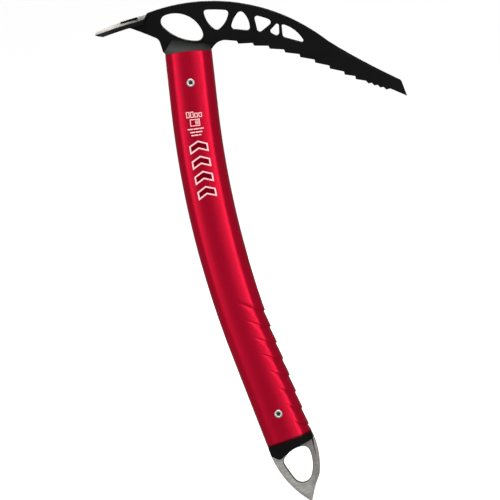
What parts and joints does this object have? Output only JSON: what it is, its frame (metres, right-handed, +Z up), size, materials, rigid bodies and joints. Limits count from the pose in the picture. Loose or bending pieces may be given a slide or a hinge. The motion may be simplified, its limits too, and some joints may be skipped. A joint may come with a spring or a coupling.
{
  "type": "ice axe",
  "caption": "Short ice axe: toothed steel pick and welded adze on a bent oval anodised tube with pressed grip steps and a pointed steel spike.",
  "frame": {"origin": "middle of the carabiner eye in the head plate, on the plate's mid-plane", "axes": "+X along the pick, away from the adze; +Y square to the plates, away from the side that is shown with the pick to the right; +Z up from the spike to the head"},
  "size_m": [0.1976, 0.044, 0.3516],
  "materials": {
    "coated_steel": "fine black powder coat",
    "weld_bead": "coated weld bead",
    "spike_steel": "satin blasted stainless steel",
    "shaft_alloy": "red anodised, satin",
    "head_collar_plastic": "moulded, dark grey",
    "spike_collar_plastic": "moulded, black",
    "packer_plastic": "moulded, natural grey",
    "rivet_steel": "bright plated"
  },
  "bodies": {
    "root": {"head_plate": "coated_steel", "adze": "coated_steel", "adze_weld_front": "weld_bead", "adze_weld_back": "weld_bead", "head_collar": "head_collar_plastic", "shaft_tube": "shaft_alloy", "spike_collar": "spike_collar_plastic", "spike": "spike_steel", "head_packer_front": "packer_plastic", "head_packer_back": "packer_plastic", "spike_packer_front": "packer_plastic", "spike_packer_back": "packer_plastic", "head_rivet": "rivet_steel", "spike_rivet": "rivet_steel"}
  },
  "joints": []
}
